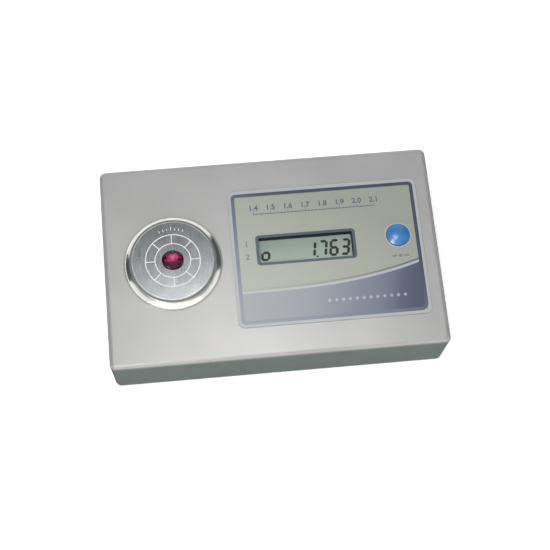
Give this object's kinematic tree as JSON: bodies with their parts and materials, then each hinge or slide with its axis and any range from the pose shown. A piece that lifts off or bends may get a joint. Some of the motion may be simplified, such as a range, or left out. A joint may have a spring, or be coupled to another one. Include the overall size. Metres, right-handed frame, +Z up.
{
  "type": "digital gem refractometer",
  "caption": "Flat silver desk instrument for testing gems: round brushed-steel stage with a loose red stone, recessed number display, round blue key, battery cover below, rubber feet.",
  "frame": {"origin": "on the standing surface, under the middle of the case", "axes": "+X along the case from the stage to the key, +Y to the back, +Z up"},
  "size_m": [0.145, 0.09, 0.0398],
  "materials": {
    "painted_case": "satin silver-grey paint on moulded plastic, very fine texture",
    "screw_steel": "zinc-plated steel",
    "foot_rubber": "matt black rubber",
    "label_print": "satin printed plastic sheet",
    "clear_pane": "clear glossy plastic pane",
    "display_film": "glossy polarising film",
    "display_glass": "clear display glass",
    "display_back": "silvered diffusing film",
    "contact_rubber": "layered contact rubber",
    "black_plastic": "moulded black plastic",
    "key_blue": "glossy blue plastic",
    "gasket_rubber": "thin black rubber washer",
    "polished_steel": "mirror-polished steel",
    "brushed_plate": "fine brushed steel with engraved lines",
    "clear_lens": "polished optical glass",
    "nut_brass": "turned brass",
    "lamp_resin": "dark tinted resin",
    "detector_resin": "black tinted resin",
    "board_green": "green solder mask on glass fibre",
    "cable_grey": "grey flat cable",
    "chip_black": "moulded epoxy with tinned legs",
    "can_sleeve": "dark blue shrink sleeve",
    "can_metal": "drawn metal can",
    "resistor_lacquer": "lacquered ceramic with colour bands",
    "battery_jacket": "printed metal jacket",
    "stud_nickel": "nickel-plated contacts",
    "lead_red": "red insulation",
    "lead_black": "black insulation",
    "foam_black": "soft closed-cell foam",
    "stone_red": "polished red faceted stone"
  },
  "bodies": {
    "case": {"amplifier_chip": "chip_black", "base_plate": "painted_case", "battery": "battery_jacket", "battery_clip": "black_plastic", "battery_lead_black": "lead_black", "battery_lead_red": "lead_red", "battery_pad": "foam_black", "battery_studs": "stud_nickel", "board_screws": "screw_steel", "capacitors": "can_sleeve", "case_screws": "screw_steel", "case_shell": "painted_case", "contact_strips": "contact_rubber", "crystal": "can_metal", "display_window": "clear_pane", "front_label": "label_print", "infrared_emitter": "lamp_resin", "lcd_frame": "black_plastic", "lcd_front_film": "display_film", "lcd_glass": "display_glass", "lcd_reflector": "display_back", "main_board": "board_green", "microcontroller": "chip_black", "optical_block": "black_plastic", "photo_detector": "detector_resin", "resistors": "resistor_lacquer", "rubber_feet": "foot_rubber", "sensor_board": "board_green", "sensor_cable": "cable_grey", "sensor_screws": "screw_steel", "stage_gasket": "gasket_rubber", "stage_lens": "clear_lens", "stage_nut": "nut_brass", "stage_plate": "brushed_plate", "stage_ring": "polished_steel", "switch_body": "black_plastic", "voltage_regulator": "chip_black"},
    "key": {"test_key": "key_blue", "switch_plunger": "black_plastic"},
    "battery_cover": {"battery_door": "painted_case"},
    "stone": {"test_stone": "stone_red"}
  },
  "joints": [
    {"name": "key_press", "type": "slide", "parent": "case", "child": "key", "axis": [0, 0, -1], "range_m": [0, 0.0004], "stiffness_N_per_m": 1200, "springref_m": -0.0004},
    {"name": "cover_hinge", "type": "hinge", "parent": "case", "child": "battery_cover", "pos_m": [-0.0117, -0.02735, 0.0015], "axis": [0, 1, 0], "range_deg": [0, 80]},
    {"name": "stone_lift", "type": "slide", "parent": "case", "child": "stone", "axis": [0, 0, 1], "range_m": [0, 0.05]}
  ]
}
